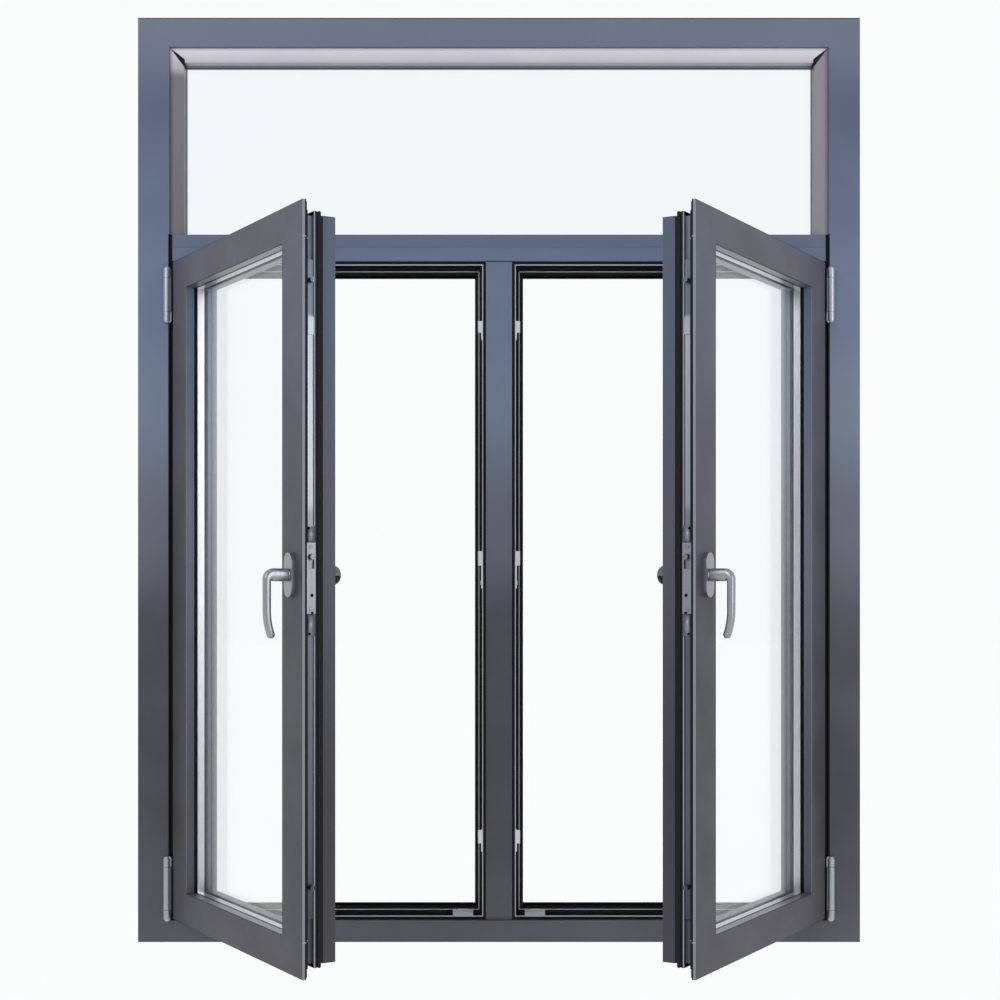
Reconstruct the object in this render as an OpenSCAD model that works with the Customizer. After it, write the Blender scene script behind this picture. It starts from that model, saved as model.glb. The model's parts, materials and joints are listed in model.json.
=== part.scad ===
// Twin casement window with a fixed top light, thermally broken aluminium.
// Millimetres, +Z up, room side towards -Y. Origin: middle of the sill's underside, on the line
// of the fixing holes.

/* [Frame] */
// Overall width
frame_w = 1250; // [1100:10:1600]
// Overall height
frame_h = 1600; // [1500:10:1900]
// Face width of the two jambs
jamb_w = 54; // [50:1:60]
// Face height of the head
head_w = 50; // [46:1:60]
// Face height of the sill
sill_w = 37; // [36:1:60]
// Face width of the mullion
mullion_w = 45; // [44:1:60]
// Height of the transom's underside
transom_z = 1180; // [1100:10:1300]

/* [Sashes] */
// Angle at which both sashes stand open in the modelled pose
open_angle = 59; // [0:1:90]
// Face width of the hinge stile
hinge_stile_w = 64; // [60:1:75]
// Face width of the lock stile
lock_stile_w = 72; // [70:1:80]
// Face height of both rails
rail_w = 54; // [54:1:62]

/* [Hardware] */
// Height of the handle spindle
handle_z = 630; // [600:5:660]
// Travel of the drive rods in a quarter turn comes from this pitch radius
pinion_r = 8; // [8:1:8]
// Radius of the hinge barrels
barrel_r = 7; // [6.5:0.1:7]

/* [Hidden] */
$fn = 48;

// Depths are measured from the room face of the frame, and room_y puts them in the part's frame
depth = 66;
groove_t = 19.5;       // middle of the hardware groove, and of the fixing holes
room_y = -groove_t;
shell_t = 29;          // back of every room-side shell
weather_t = 41;        // front of every weather-side shell
tee_t = 6;             // the transom and mullion stand back by this much
wall = 1.8;
lip = 6.5;             // height of the groove's lips above the rebate
flange = 20;           // weather-side flange beyond the front leg
box_e = 6;             // weather-side box beyond the front leg

inner_x = frame_w / 2 - jamb_w;
head_z = frame_h - head_w;
half_mullion = mullion_w / 2;
half_transom = 12;
rebate_z = transom_z + 2 * half_transom;

// Top light
sight_e = 22;
cover = 14;
light_t = 39.5;
pane = 4;
cavity = 12;
unit = 2 * pane + cavity;
light_x = inner_x - sight_e;
light_z0 = rebate_z + sight_e;
light_z1 = head_z - sight_e;

// Sash, in its own axes: X from the hinge edge, Y depth, Z from the bottom edge
gap_side = 5;
gap_lock = 4.5;
gap_z = 4.5;
sash_x0 = -inner_x + gap_side;
sash_w = inner_x - gap_side - half_mullion - gap_lock;
sash_z0 = sill_w + gap_z;
sash_h = transom_z - sill_w - 2 * gap_z;
sash_depth = 61;
glass_t = 20;
groove_i = 12.5;       // the groove face lies this far in from the flange edge
weather_i = 17;
rebate_back = 19;      // glazing rebate, back from the sight line
axis_x = -inner_x - 2;
axis_y = room_y - 7.5;
axis_s = sash_x0 - axis_x;

// Lock hardware, as heights above the sash's bottom edge
spindle_i = 36;
spindle_h = handle_z - sash_z0;
cam_h = [173 - sash_z0, 656 - sash_z0, 1061 - sash_z0];
keep_span = [[155, 192], [612, 677], [1045, 1077]];
keep_wall = [169, 652, 1057];
keep_screw = [[186], [622, 670], [1071]];
cam_r = 4;
rod_travel = pinion_r * PI / 2;
hinge_span = [[41, 146], [1074, 1164]];
knuckle = [[16, 90], [15.5, 73.5]];

// ---------------------------------------------------------------- helpers
module paint() { color([0.33, 0.36, 0.42]) children(); }
module silver() { color([0.75, 0.76, 0.78]) children(); }
module steel() { color([0.55, 0.56, 0.58]) children(); }
module rubber() { color([0.07, 0.07, 0.08]) children(); }
module glass() { color([0.8, 0.9, 0.92, 0.35]) children(); }

// A flat shape drawn as (inset, depth) becomes a bar along Z or along X
module upright(z0, z1) { translate([0, 0, z0]) linear_extrude(z1 - z0) children(); }
module level(x0, x1) {
    translate([x0, 0, 0]) rotate([90, 0, 90]) linear_extrude(x1 - x0) mirror([1, -1, 0]) children();
}
// A prism over an outline in the window's plane, from depth -60 to 120
module zone(points) { translate([0, 120, 0]) rotate([90, 0, 0]) linear_extrude(180) polygon(points); }
module block(x, y, z) {
    translate([x[0], y[0], z[0]]) cube([x[1] - x[0], y[1] - y[0], z[1] - z[0]]);
}
// Round bars along each axis
module rod_x(x0, x1, y, z, r) { translate([x0, y, z]) rotate([0, 90, 0]) cylinder(h = x1 - x0, r = r); }
module rod_y(y0, y1, x, z, r) { translate([x, y1, z]) rotate([90, 0, 0]) cylinder(h = y1 - y0, r = r); }
module rod_z(z0, z1, x, y, r) { translate([x, y, z0]) cylinder(h = z1 - z0, r = r); }

// Four bars round the inside of a rectangle, mitred at 45 degrees; gap opens the mitres
module ring(x, z, gap = 0) {
    m = 60;
    top = z[0] + z[1];
    for (side = [0, 1]) translate([0, 0, side * top]) mirror([0, 0, side]) intersection() {
        translate([0, 0, z[0]]) level(x[0] - 50, x[1] + 50) children();
        zone([[x[0] - m + gap, z[0] - m], [x[0] + m + gap, z[0] + m],
              [x[1] - m - gap, z[0] + m], [x[1] + m - gap, z[0] - m]]);
    }
    across = x[0] + x[1];
    for (side = [0, 1]) translate([side * across, 0, 0]) mirror([side, 0, 0]) intersection() {
        translate([x[0], 0, 0]) upright(z[0] - 50, z[1] + 50) children();
        zone([[x[0] - m, z[0] - m], [x[0] + m, z[0] + m],
              [x[0] + m, z[1] - m], [x[0] - m, z[1] + m]]);
    }
}
// Puts frame pieces, drawn with Y as depth, in the part's frame
module in_frame() { translate([0, room_y, 0]) children(); }
// Puts sash pieces in place, closed, then opens them
module at_left() {
    translate([axis_x, axis_y, 0]) rotate([0, 0, -open_angle])
        translate([axis_s, room_y - axis_y, sash_z0]) children();
}
module at_right() { mirror([1, 0, 0]) at_left() children(); }

// ---------------------------------------------------------------- sections
// Rebate side of a room-side shell: front edge at front_t, then the hardware groove
function groove_line(front_t, e = 0) = [
    [e, front_t], [e, 9.9], [e + lip, 9.9], [e + lip, 14.6], [e + 5, 14.6], [e + 5, 12.1],
    [e, 12.1], [e, 26.7], [e + 5, 26.7], [e + 5, 24.4], [e + lip, 24.4], [e + lip, shell_t]
];
function flipped(points) = [for (i = [len(points) - 1:-1:0]) [-points[i][0], points[i][1]]];

module frame_room_outline(w) { polygon(concat([[-w, 0]], groove_line(0), [[-w, shell_t]])); }
module frame_room_section(w) {
    difference() {
        frame_room_outline(w);
        translate([wall - w, wall]) square([w - 2 * wall, shell_t - 2 * wall]);
    }
}
module frame_weather_outline(w) {
    polygon([[-w, weather_t], [box_e, weather_t], [box_e, 62.5], [flange, 62.5], [flange, depth], [-w, depth]]);
}
module frame_weather_section(w) {
    difference() {
        frame_weather_outline(w);
        translate([wall - w, weather_t + wall])
            square([w + box_e - 2 * wall, depth - weather_t - 2 * wall]);
    }
}
module tee_room_outline(half) {
    polygon(concat(groove_line(tee_t, half), flipped(groove_line(tee_t, half))));
}
module tee_section(half) {
    difference() {
        tee_room_outline(half);
        translate([wall - half, tee_t + wall])
            square([2 * (half - wall), shell_t - tee_t - 2 * wall]);
    }
    difference() {
        polygon(concat(
            [[half + box_e, weather_t], [half + box_e, 62.5], [half + flange, 62.5], [half + flange, depth]],
            [[-half - flange, depth], [-half - flange, 62.5], [-half - box_e, 62.5], [-half - box_e, weather_t]]));
        translate([wall - half - box_e, weather_t + wall])
            square([2 * (half + box_e - wall), depth - weather_t - 2 * wall]);
    }
}
module strip(e) { translate([e, shell_t]) square([2.5, weather_t - shell_t]); }
module frame_strips(w) { strip(-4); strip(4 - w); }

module sash_room_section(w) {
    difference() {
        polygon([[0.8, 0], [w, 0], [w, 17.5], [w - rebate_back, 17.5], [w - rebate_back, shell_t],
                 [groove_i, shell_t], [groove_i, 24.4], [14, 24.4], [14, 26.8], [19, 26.8], [19, 12.2],
                 [14, 12.2], [14, 14.6], [groove_i, 14.6], [groove_i, 9.6], [9, 9.6], [9, 2],
                 [2.2, 2], [2.2, 6.4], [0, 6.4], [0, 0.8]]);
        polygon([[20.8, 2], [w - wall, 2], [w - wall, 15.7], [w - 20.8, 15.7], [w - 20.8, 27.2], [20.8, 27.2]]);
    }
}
module sash_weather_section(w) {
    difference() {
        translate([weather_i, weather_t]) square([w - rebate_back - weather_i, sash_depth - weather_t]);
        translate([weather_i + wall, weather_t + wall])
            square([w - rebate_back - weather_i - 2 * wall, sash_depth - weather_t - 2 * wall]);
    }
}
// Polyamide with the rounded sealing nose, and the plain inner strip
module sash_nose_section() {
    translate([17.5, shell_t]) square([2.5, weather_t - shell_t]);
    translate([15.9, 29.2]) square([1.8, 7.8]);
    translate([15.9, 33.1]) circle(r = 3.9);
}

// ---------------------------------------------------------------- outer frame
// Mitre lines run from each outer corner to the inner corner, then on at 45 degrees
reach = 30;
function corner_out(x, z, inner_z) = [x * (1 + 4 / (frame_w / 2)), z + (z - inner_z) * 4 / jamb_w];
module across_zone(z_out, z_in, way) {
    a = corner_out(frame_w / 2, z_out, z_in);
    zone([[-a[0], a[1]], [-inner_x, z_in], [-inner_x + reach, z_in + way * reach],
          [inner_x - reach, z_in + way * reach], [inner_x, z_in], [a[0], a[1]]]);
}
module jamb_zone() {
    b = corner_out(frame_w / 2, 0, sill_w);
    t = corner_out(frame_w / 2, frame_h, head_z);
    zone([[-b[0], b[1]], [-inner_x, sill_w], [-inner_x + reach, sill_w + reach],
          [-inner_x + reach, head_z - reach], [-inner_x, head_z], [-t[0], t[1]]]);
}
fix_r = 4;
fix_z = [300, 900];
fix_x = [-300, 300];
module sill_bar() {
    difference() {
        intersection() {
            translate([0, 0, sill_w]) level(-frame_w / 2 - 5, frame_w / 2 + 5) children();
            across_zone(0, sill_w, 1);
        }
        for (x = fix_x) rod_z(-1, sill_w + 1, x, groove_t, fix_r);
    }
}
module frame_sill() { paint() in_frame() sill_bar() { frame_room_section(sill_w); frame_weather_section(sill_w); } }
module frame_head() {
    paint() in_frame() translate([0, 0, head_z]) mirror([0, 0, 1]) difference() {
        intersection() {
            level(-frame_w / 2 - 5, frame_w / 2 + 5) { frame_room_section(head_w); frame_weather_section(head_w); }
            translate([0, 0, 0]) across_zone(-head_w, 0, 1);
        }
        for (x = fix_x) rod_z(-head_w - 1, 1, x, groove_t, fix_r);
    }
}
module jamb() {
    difference() {
        intersection() {
            translate([-inner_x, 0, 0]) upright(-5, frame_h + 5) {
                frame_room_section(jamb_w);
                frame_weather_section(jamb_w);
            }
            jamb_zone();
        }
        // lip cut away where the hinge leaves pass
        for (s = hinge_span) block([-inner_x - 0.01, -inner_x + lip + 1], [9.8, 14.7], [s[0] - 1, s[1] + 1]);
        for (z = fix_z) rod_x(-frame_w / 2 - 1, -inner_x + 1, groove_t, z, fix_r);
    }
}
module frame_jamb_left() { paint() in_frame() jamb(); }
module frame_jamb_right() { paint() in_frame() mirror([1, 0, 0]) jamb(); }

module jamb_fill() {
    for (side = [0, 1]) mirror([side, 0, 0]) translate([-inner_x, 0, 0])
        upright(0, frame_h) { frame_room_outline(jamb_w); frame_weather_outline(jamb_w); }
}
module transom() {
    paint() in_frame() difference() {
        translate([0, 0, transom_z + half_transom]) level(-inner_x, inner_x) tee_section(half_transom);
        jamb_fill();
        // its own lips stop at the tips of the jamb's lips
        for (side = [0, 1], z = [transom_z - lip - 1, rebate_z]) mirror([side, 0, 0])
            block([-inner_x - 1, -inner_x + lip], [9, shell_t + 1], [z, z + lip + 1]);
    }
}
module mullion() {
    paint() in_frame() difference() {
        upright(sill_w, transom_z) tee_section(half_mullion);
        translate([0, 0, sill_w]) level(-60, 60) { frame_room_outline(sill_w); frame_weather_outline(sill_w); }
        translate([0, 0, transom_z + half_transom]) level(-60, 60) {
            tee_room_outline(half_transom);
            polygon([[half_transom + box_e, weather_t], [half_transom + box_e, depth + 1],
                     [-half_transom - box_e, depth + 1], [-half_transom - box_e, weather_t]]);
            translate([-half_transom - flange, 62.5]) square([2 * (half_transom + flange), 5]);
        }
        for (side = [0, 1], z = [sill_w - 1, transom_z - lip]) mirror([side, 0, 0])
            block([half_mullion, half_mullion + lip + 1], [9, shell_t + 1], [z, z + lip + 1]);
    }
}
module frame_thermal_breaks() {
    color([0.1, 0.1, 0.11]) in_frame() {
        intersection() {
            translate([0, 0, sill_w]) level(-frame_w / 2 - 5, frame_w / 2 + 5) frame_strips(sill_w);
            across_zone(0, sill_w, 1);
        }
        translate([0, 0, head_z]) mirror([0, 0, 1]) intersection() {
            level(-frame_w / 2 - 5, frame_w / 2 + 5) frame_strips(head_w);
            across_zone(-head_w, 0, 1);
        }
        for (side = [0, 1]) mirror([side, 0, 0]) intersection() {
            translate([-inner_x, 0, 0]) upright(-5, frame_h + 5) frame_strips(jamb_w);
            jamb_zone();
        }
        translate([0, 0, transom_z + half_transom]) level(-inner_x, inner_x) {
            strip(half_transom - 4);
            strip(1.5 - half_transom);
        }
        upright(sill_w, transom_z) { strip(half_mullion - 4); strip(1.5 - half_mullion); }
    }
}
// Die-cast angles in the mitres, and blocks that tie the transom and mullion ends
module frame_cleats() {
    c = 2.1;
    leg = 95;
    y = [c, shell_t - c];
    tee_y = [tee_t + c, shell_t - c];
    mouth = [15, 24];      // passes between the lips it stands on
    color([0.62, 0.63, 0.65]) in_frame() for (side = [0, 1]) mirror([side, 0, 0]) {
        x0 = -frame_w / 2;
        union() {
            block([x0 + c, x0 + leg], y, [c, sill_w - c]);
            block([x0 + c, x0 + jamb_w - c - 0.8], y, [c, leg + 20]);
        }
        union() {
            block([x0 + c, x0 + leg], y, [head_z + c, frame_h - c]);
            block([x0 + c, x0 + jamb_w - c - 0.8], y, [frame_h - leg - 20, frame_h - c]);
        }
        union() {
            block([-inner_x + 0.2, -inner_x + lip + 1], mouth, [transom_z + c, rebate_z - c]);
            block([-inner_x + lip + 0.3, -inner_x + 40], tee_y, [transom_z + c, rebate_z - c]);
        }
        if (side == 0) for (end = [0, 1]) translate([0, 0, end * (sill_w + transom_z)]) mirror([0, 0, end]) {
            block([c - half_mullion, half_mullion - c], mouth, [sill_w + 0.2, sill_w + lip + 1]);
            block([c - half_mullion, half_mullion - c], tee_y, [sill_w + lip + 0.3, sill_w + 45]);
        }
    }
}
module centre_gasket_section() {
    polygon([[0, 31], [2.5, 31], [2.5, 34], [17.5, 37.6], [19, 38.3], [17.5, 39], [2.5, 38.2], [0, 38.2]]);
}
module frame_gaskets() {
    rubber() in_frame() {
        for (side = [0, 1]) mirror([side, 0, 0])
            ring([-inner_x, -half_mullion], [sill_w, transom_z]) centre_gasket_section();
        ring([-light_x, light_x], [light_z0, light_z1]) {
            polygon([[-7, 36.5], [-0.8, 36.5], [-0.3, 38], [-0.8, light_t], [-7, light_t]]);
            polygon([[-8, 59.5], [-2.8, 59.5], [-2.3, 61], [-2.8, 62.5], [-8, 62.5]]);
        }
    }
}

// ---------------------------------------------------------------- top light
module light_pane(t) {
    in_frame() block([-light_x - cover, light_x + cover], [t, t + pane], [light_z0 - cover, light_z1 + cover]);
}
module toplight_room_pane() { glass() light_pane(light_t); }
module toplight_weather_pane() { glass() light_pane(light_t + pane + cavity); }
module spacer_ring(x, z, t) {
    ring(x, z) difference() {
        translate([-8.5, t]) square([7, cavity]);
        translate([-7.9, t + 0.6]) square([5.8, cavity - 1.2]);
    }
}
module toplight_spacer() {
    silver() in_frame() spacer_ring([-light_x, light_x], [light_z0, light_z1], light_t + pane);
}
module sloped_bead() {
    difference() {
        polygon([[0.3, 8.2], [7, 8.2], [sight_e, 18], [sight_e, 36.5], [lip + 0.2, 36.5], [lip + 0.2, 9.7], [0.3, 9.7]]);
        polygon([[8.3, 11.2], [20.4, 19.2], [20.4, 34.9], [8.3, 34.9]]);
    }
}
module flat_bead() {
    difference() {
        polygon([[0.3, tee_t], [sight_e, tee_t], [sight_e, 36.5], [lip + 0.2, 36.5], [lip + 0.2, 9.7], [0.3, 9.7]]);
        polygon([[8.3, tee_t + 1.6], [20.4, tee_t + 1.6], [20.4, 34.9], [8.3, 34.9]]);
    }
}
module toplight_beads() {
    paint() in_frame() {
        difference() {
            translate([0, 0, rebate_z]) level(0.3 - inner_x, inner_x - 0.3) flat_bead();
            jamb_fill();
        }
        intersection() {
            ring([-inner_x, inner_x], [rebate_z, head_z], 0.2) sloped_bead();
            block([-inner_x, inner_x], [0, 60], [light_z0 + 0.2, head_z]);
        }
    }
}

// ---------------------------------------------------------------- fixed hardware
// Keeps clamp on the mullion's groove lips; a wall on the room side holds the cam
module keep(i) {
    span = keep_span[i];
    difference() {
        union() {
            block([lip, lip + 2], [10.5, 28.5], span);
            block([lip, 14], [12.2, 15.2], [keep_wall[i], span[1]]);
        }
        for (z = keep_screw[i]) rod_x(lip - 1, lip + 3, 20.5, z, 2.6);
    }
    for (z = keep_screw[i]) difference() {
        block([0.4, 4.6], [12.6, 26.2], [z - 5, z + 5]);
        rod_x(0, 5, 20.5, z, 2.6);
    }
}
module on_mullion() {
    in_frame() for (side = [0, 1]) mirror([side, 0, 0]) translate([half_mullion, 0, 0]) children();
}
module keeps() { silver() on_mullion() for (i = [0, 1, 2]) keep(i); }
module support_blocks() {
    silver() in_frame() for (side = [0, 1]) mirror([side, 0, 0]) translate([0, 0, sill_w]) {
        difference() {
            level(45, 80) polygon([[lip, 10.5], [lip + 6, 10.5], [16.2, 16], [16.2, 23], [lip + 6, 28.5], [lip, 28.5]]);
            for (x = [51, 74]) rod_z(0, 20, x, groove_t, 2.6);
        }
        for (x = [51, 74]) difference() {
            block([x - 5, x + 5], [12.6, 26.2], [0.4, 4.6]);
            rod_z(0, 5, x, groove_t, 2.6);
        }
    }
}
module frame_screws() {
    steel() {
        on_mullion() for (i = [0, 1, 2], z = keep_screw[i]) union() {
            rod_x(0.6, lip + 2, 20.5, z, 2.5);
            rod_x(lip + 2, lip + 3.6, 20.5, z, 3.6);
        }
        in_frame() for (side = [-1, 1], x = [51, 74]) rod_z(sill_w + 0.6, sill_w + 14, side * x, groove_t, 2.5);
    }
}

// ---------------------------------------------------------------- hinges
// Drawn about the hinge axis, closed: X towards the sash, Y depth
module knuckle_ring(z, bore) {
    difference() { rod_z(z[0], z[1], 0, 0, barrel_r); rod_z(z[0] - 1, z[1] + 1, 0, 0, bore); }
}
module frame_leaf(n) {
    span = hinge_span[n];
    ends = [[span[0], span[0] + knuckle[n][0]], [span[0] + knuckle[n][1] + 0.5, span[1]]];
    union() {
        for (z = ends) {
            knuckle_ring(z, 4);
            difference() {
                block([2.2, 4.4], [0, 9], z);
                rod_z(z[0] - 1, z[1] + 1, 0, 0, 4.5);
            }
        }
        block([2.2, 4.4], [8, 32], span);
        block([2.2, 6.4], [20, 32], [span[0] + 6, span[1] - 6]);
    }
}
module hinge_frame_leaves() {
    silver() for (side = [0, 1], n = [0, 1]) mirror([side, 0, 0]) translate([axis_x, axis_y, 0]) frame_leaf(n);
}
module hinge_pins() {
    steel() for (side = [0, 1], s = hinge_span) mirror([side, 0, 0]) translate([axis_x, axis_y, 0]) union() {
        rod_z(s[0], s[1], 0, 0, 4);
        translate([0, 0, s[1]]) cylinder(h = 3, r1 = 6.6, r2 = 4.6);
        translate([0, 0, s[0] - 3]) cylinder(h = 3, r1 = 4.6, r2 = 6.6);
    }
}
module sash_leaf(n) {
    z = [hinge_span[n][0] + knuckle[n][0] + 0.5 - sash_z0, hinge_span[n][0] + knuckle[n][1] - sash_z0];
    d = axis_y - room_y;
    translate([-axis_s, d, 0]) knuckle_ring(z, 4.05);
    difference() {
        block([-2.3, -0.02], [-4, 12.1], z);
        translate([-axis_s, d, 0]) rod_z(z[0] - 1, z[1] + 1, 0, 0, 5);
    }
    block([-2.3, groove_i], [9.9, 12.1], z);
    block([10.3, groove_i - 0.02], [9.9, 26], z);
    block([12, 18.6], [15, 24], [z[0] + 4, z[1] - 4]);
}
module hinge_leaves() { silver() union() { sash_leaf(0); sash_leaf(1); } }

// ---------------------------------------------------------------- sash members
// Mitres start and end at 45 degrees and cross over between unequal widths
kink = 20;
module rail_zone() {
    zone([[-2, -2], [kink, kink], [hinge_stile_w - kink, rail_w - kink], [hinge_stile_w + 2, rail_w + 2],
          [sash_w - lock_stile_w - 2, rail_w + 2], [sash_w - lock_stile_w + kink, rail_w - kink],
          [sash_w - kink, kink], [sash_w + 2, -2]]);
}
module stile_zone(w) {
    zone([[-2, -2], [kink, kink], [w - kink, rail_w - kink], [w + 2, rail_w + 2],
          [w + 2, sash_h - rail_w - 2], [w - kink, sash_h - rail_w + kink], [kink, sash_h - kink],
          [-2, sash_h + 2]]);
}
module rail_bar() {
    intersection() { level(-5, sash_w + 5) children(); rail_zone(); }
}
module stile_bar(w) {
    intersection() { upright(-5, sash_h + 5) children(); stile_zone(w); }
}
module bottom_rail() { paint() rail_bar() { sash_room_section(rail_w); sash_weather_section(rail_w); } }
module top_rail() { translate([0, 0, sash_h]) mirror([0, 0, 1]) bottom_rail(); }
module hinge_stile() {
    paint() stile_bar(hinge_stile_w) { sash_room_section(hinge_stile_w); sash_weather_section(hinge_stile_w); }
}
module from_lock_edge() { translate([sash_w, 0, 0]) mirror([1, 0, 0]) children(); }
pocket = [spindle_h - 42.5, spindle_h + 32.5];
module lock_stile() {
    paint() from_lock_edge() difference() {
        stile_bar(lock_stile_w) { sash_room_section(lock_stile_w); sash_weather_section(lock_stile_w); }
        block([groove_i - 1, 21], [12.2, 26.8], pocket);
        rod_y(-1, 3, spindle_i, spindle_h, 8.5);
        rod_y(26, sash_depth + 1, spindle_i, spindle_h, 5.4);
        for (d = [-20, 20]) rod_y(-1, 3, spindle_i, spindle_h + d, 2.6);
    }
}
module thermal_breaks() {
    color([0.1, 0.1, 0.11]) {
        rail_bar() { sash_nose_section(); strip(rail_w - 22); }
        translate([0, 0, sash_h]) mirror([0, 0, 1]) rail_bar() { sash_nose_section(); strip(rail_w - 22); }
        stile_bar(hinge_stile_w) { sash_nose_section(); strip(hinge_stile_w - 22); }
        from_lock_edge() stile_bar(lock_stile_w) { sash_nose_section(); strip(lock_stile_w - 22); }
    }
}
module corner_cleats() {
    y = [2.3, 15.4];
    c = 21.1;
    color([0.62, 0.63, 0.65]) for (top = [0, 1]) translate([0, 0, top * sash_h]) mirror([0, 0, top]) {
        union() {
            block([c, 90], y, [c, rail_w - 2.1]);
            block([c, hinge_stile_w - 2.1], y, [c, 100]);
        }
        union() {
            block([sash_w - 98, sash_w - c], y, [c, rail_w - 2.1]);
            block([sash_w - lock_stile_w + 2.1, sash_w - c], y, [c, 100]);
        }
    }
}

// ---------------------------------------------------------------- sash glazing
sight_x = [hinge_stile_w, sash_w - lock_stile_w];
sight_z = [rail_w, sash_h - rail_w];
module sash_pane(t) {
    glass() block([sight_x[0] - cover, sight_x[1] + cover], [t, t + pane], [sight_z[0] - cover, sight_z[1] + cover]);
}
module room_pane() { sash_pane(glass_t); }
module weather_pane() { sash_pane(glass_t + pane + cavity); }
module spacer() { silver() spacer_ring(sight_x, sight_z, glass_t + pane); }
module beads() {
    paint() ring(sight_x, sight_z, 0.2) difference() {
        polygon([[-18.8, 43], [0, 43], [0, sash_depth - 1], [-1, sash_depth], [-18.8, sash_depth]]);
        translate([-17.2, 44.6]) square([15.6, 9.8]);
    }
}
module glazing_gaskets() {
    rubber() ring(sight_x, sight_z) {
        polygon([[-7, 17.5], [-0.8, 17.5], [-0.3, 18.8], [-0.8, glass_t], [-7, glass_t]]);
        polygon([[-9, 40], [-0.8, 40], [-0.3, 41.5], [-0.8, 43], [-9, 43]]);
    }
}
module overlap_gasket() {
    rubber() ring([0, sash_w], [0, sash_h])
        polygon([[2.3, 2.1], [8.9, 2.1], [8.9, 6.5], [7.6, 9.2], [3.6, 9.2], [2.3, 8]]);
}

// ---------------------------------------------------------------- handle and lock
module handle_base() {
    silver() from_lock_edge() difference() {
        translate([spindle_i, 0, spindle_h]) rotate([90, 0, 0]) linear_extrude(7) {
            translate([-14, -19]) square([28, 38]);
            for (d = [-19, 19]) translate([0, d]) circle(r = 14);
        }
        rod_y(-8, 1, spindle_i, spindle_h, 8.05);
        for (d = [-20, 20]) rod_y(-5.5, 1, spindle_i, spindle_h + d, 2.6);
    }
}
// Side view of the lever, drawn as (depth, height), then given its width
module lever_outline() {
    translate([-37, -10]) square([29.7, 20]);
    translate([-36.5, 0]) circle(r = 10);
    translate([-46.5, -70]) square([12.5, 70]);
    polygon([[-46.5, -70], [-34, -70], [-31.2, -86], [-43.2, -88]]);
    translate([-37.1, -85.5]) circle(r = 6.1);
}
module handle_lever() {
    silver() from_lock_edge() union() {
        translate([spindle_i - 7, 0, spindle_h]) rotate([90, 0, 90]) linear_extrude(14) lever_outline();
        difference() {
            rod_y(-8, 0, spindle_i, spindle_h, 8);
            block([spindle_i - 3.5, spindle_i + 3.5], [-8.5, 1], [spindle_h - 3.5, spindle_h + 3.5]);
        }
    }
}
// Involute pinion, module 1 and 20 degree pressure angle, thinned a little for backlash
teeth = 16;
function inv(a) = tan(a) * 180 / PI - a;
pinion_turn = 360 / teeth / 2;
base_r = pinion_r * cos(20);
half_tooth = 360 / teeth / 4 - 0.9;
function flank(r) = r <= base_r ? half_tooth + inv(20) : half_tooth + inv(20) - inv(acos(base_r / r));
flank_r = [6.9, 7.55, 8, 8.5, 9];
module pinion() {
    polygon([for (k = [0:teeth - 1], side = [-1, 1], j = [0:4])
        let (r = flank_r[side < 0 ? j : 4 - j], a = 360 * k / teeth + pinion_turn + side * flank(r))
        [r * cos(a), r * sin(a)]]);
}
module spindle() {
    steel() from_lock_edge() union() {
        block([spindle_i - 3.5, spindle_i + 3.5], [-7.2, sash_depth + 4], [spindle_h - 3.5, spindle_h + 3.5]);
        rod_y(5, 16, spindle_i, spindle_h, 5);
        rod_y(22, 27, spindle_i, spindle_h, 5);
        translate([spindle_i, 22.5, spindle_h]) rotate([90, 0, 0]) linear_extrude(6) pinion();
    }
}
module outside_knob() {
    steel() from_lock_edge() difference() {
        union() {
            rod_y(sash_depth + 0.3, sash_depth + 3.2, spindle_i, spindle_h, 15);
            rod_y(sash_depth + 3.2, sash_depth + 12, spindle_i, spindle_h, 8);
            block([spindle_i - 6, spindle_i + 6], [sash_depth + 8, sash_depth + 16], [spindle_h - 16, spindle_h + 4]);
            rod_y(sash_depth + 8, sash_depth + 16, spindle_i, spindle_h + 4, 6);
        }
        block([spindle_i - 3.5, spindle_i + 3.5], [sash_depth, sash_depth + 4], [spindle_h - 3.5, spindle_h + 3.5]);
    }
}
module gearbox() {
    z = [spindle_h - 42, spindle_h + 32];
    silver() from_lock_edge() difference() {
        union() {
            block([10.9, groove_i - 0.1], [12.6, 26.4], [spindle_h - 57, spindle_h + 47]);
            block([11, 22], [12.5, 14.3], z);
            block([11, 22], [24.7, 26.5], z);
            block([21, 50], [6, 26], z);
        }
        block([19, 48], [8, 24], [z[0] + 2, z[1] - 2]);
        block([12.4, 30], [14.3, 24.7], [z[0] - 1, z[1] + 1]);
        rod_y(5, 27, spindle_i, spindle_h, 5.05);
        block([10, 13], [14.8, 24.2], [cam_h[1] - rod_travel - 4.6, cam_h[1] + 4.6]);
        for (d = [-51, 41]) rod_x(10, 13, groove_t, spindle_h + d, 2.05);
        for (d = [-20, 20]) rod_y(5, 9, spindle_i, spindle_h + d, 2.55);
    }
}
module drive_rods() {
    narrow = [spindle_h - 43, spindle_h + 46];
    rack = [spindle_h - 12, spindle_h + 25];
    silver() from_lock_edge() union() {
        block([14.4, 18.4], [12.8, 26.2], [85, narrow[0]]);
        block([14.4, 18.4], [12.8, 26.2], [narrow[1], 1050]);
        block([14.4, 18.4], [15, 24], [narrow[0] - 1, narrow[1] + 1]);
        block([18.2, 26.7], [17, 22], rack);
        // straight-sided teeth, one every module x PI
        for (k = [-3:7]) translate([0, 22, spindle_h + k * PI]) rotate([90, 0, 0]) linear_extrude(5)
            polygon([[26.6, -1.2], [29, -0.33], [29, 0.33], [26.6, 1.2]]);
        for (z = [[498, 531], [638, 658], [940, 966]])
            block([groove_i + 0.1, 14.5], [14.9, 24.1], z);
    }
}
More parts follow.
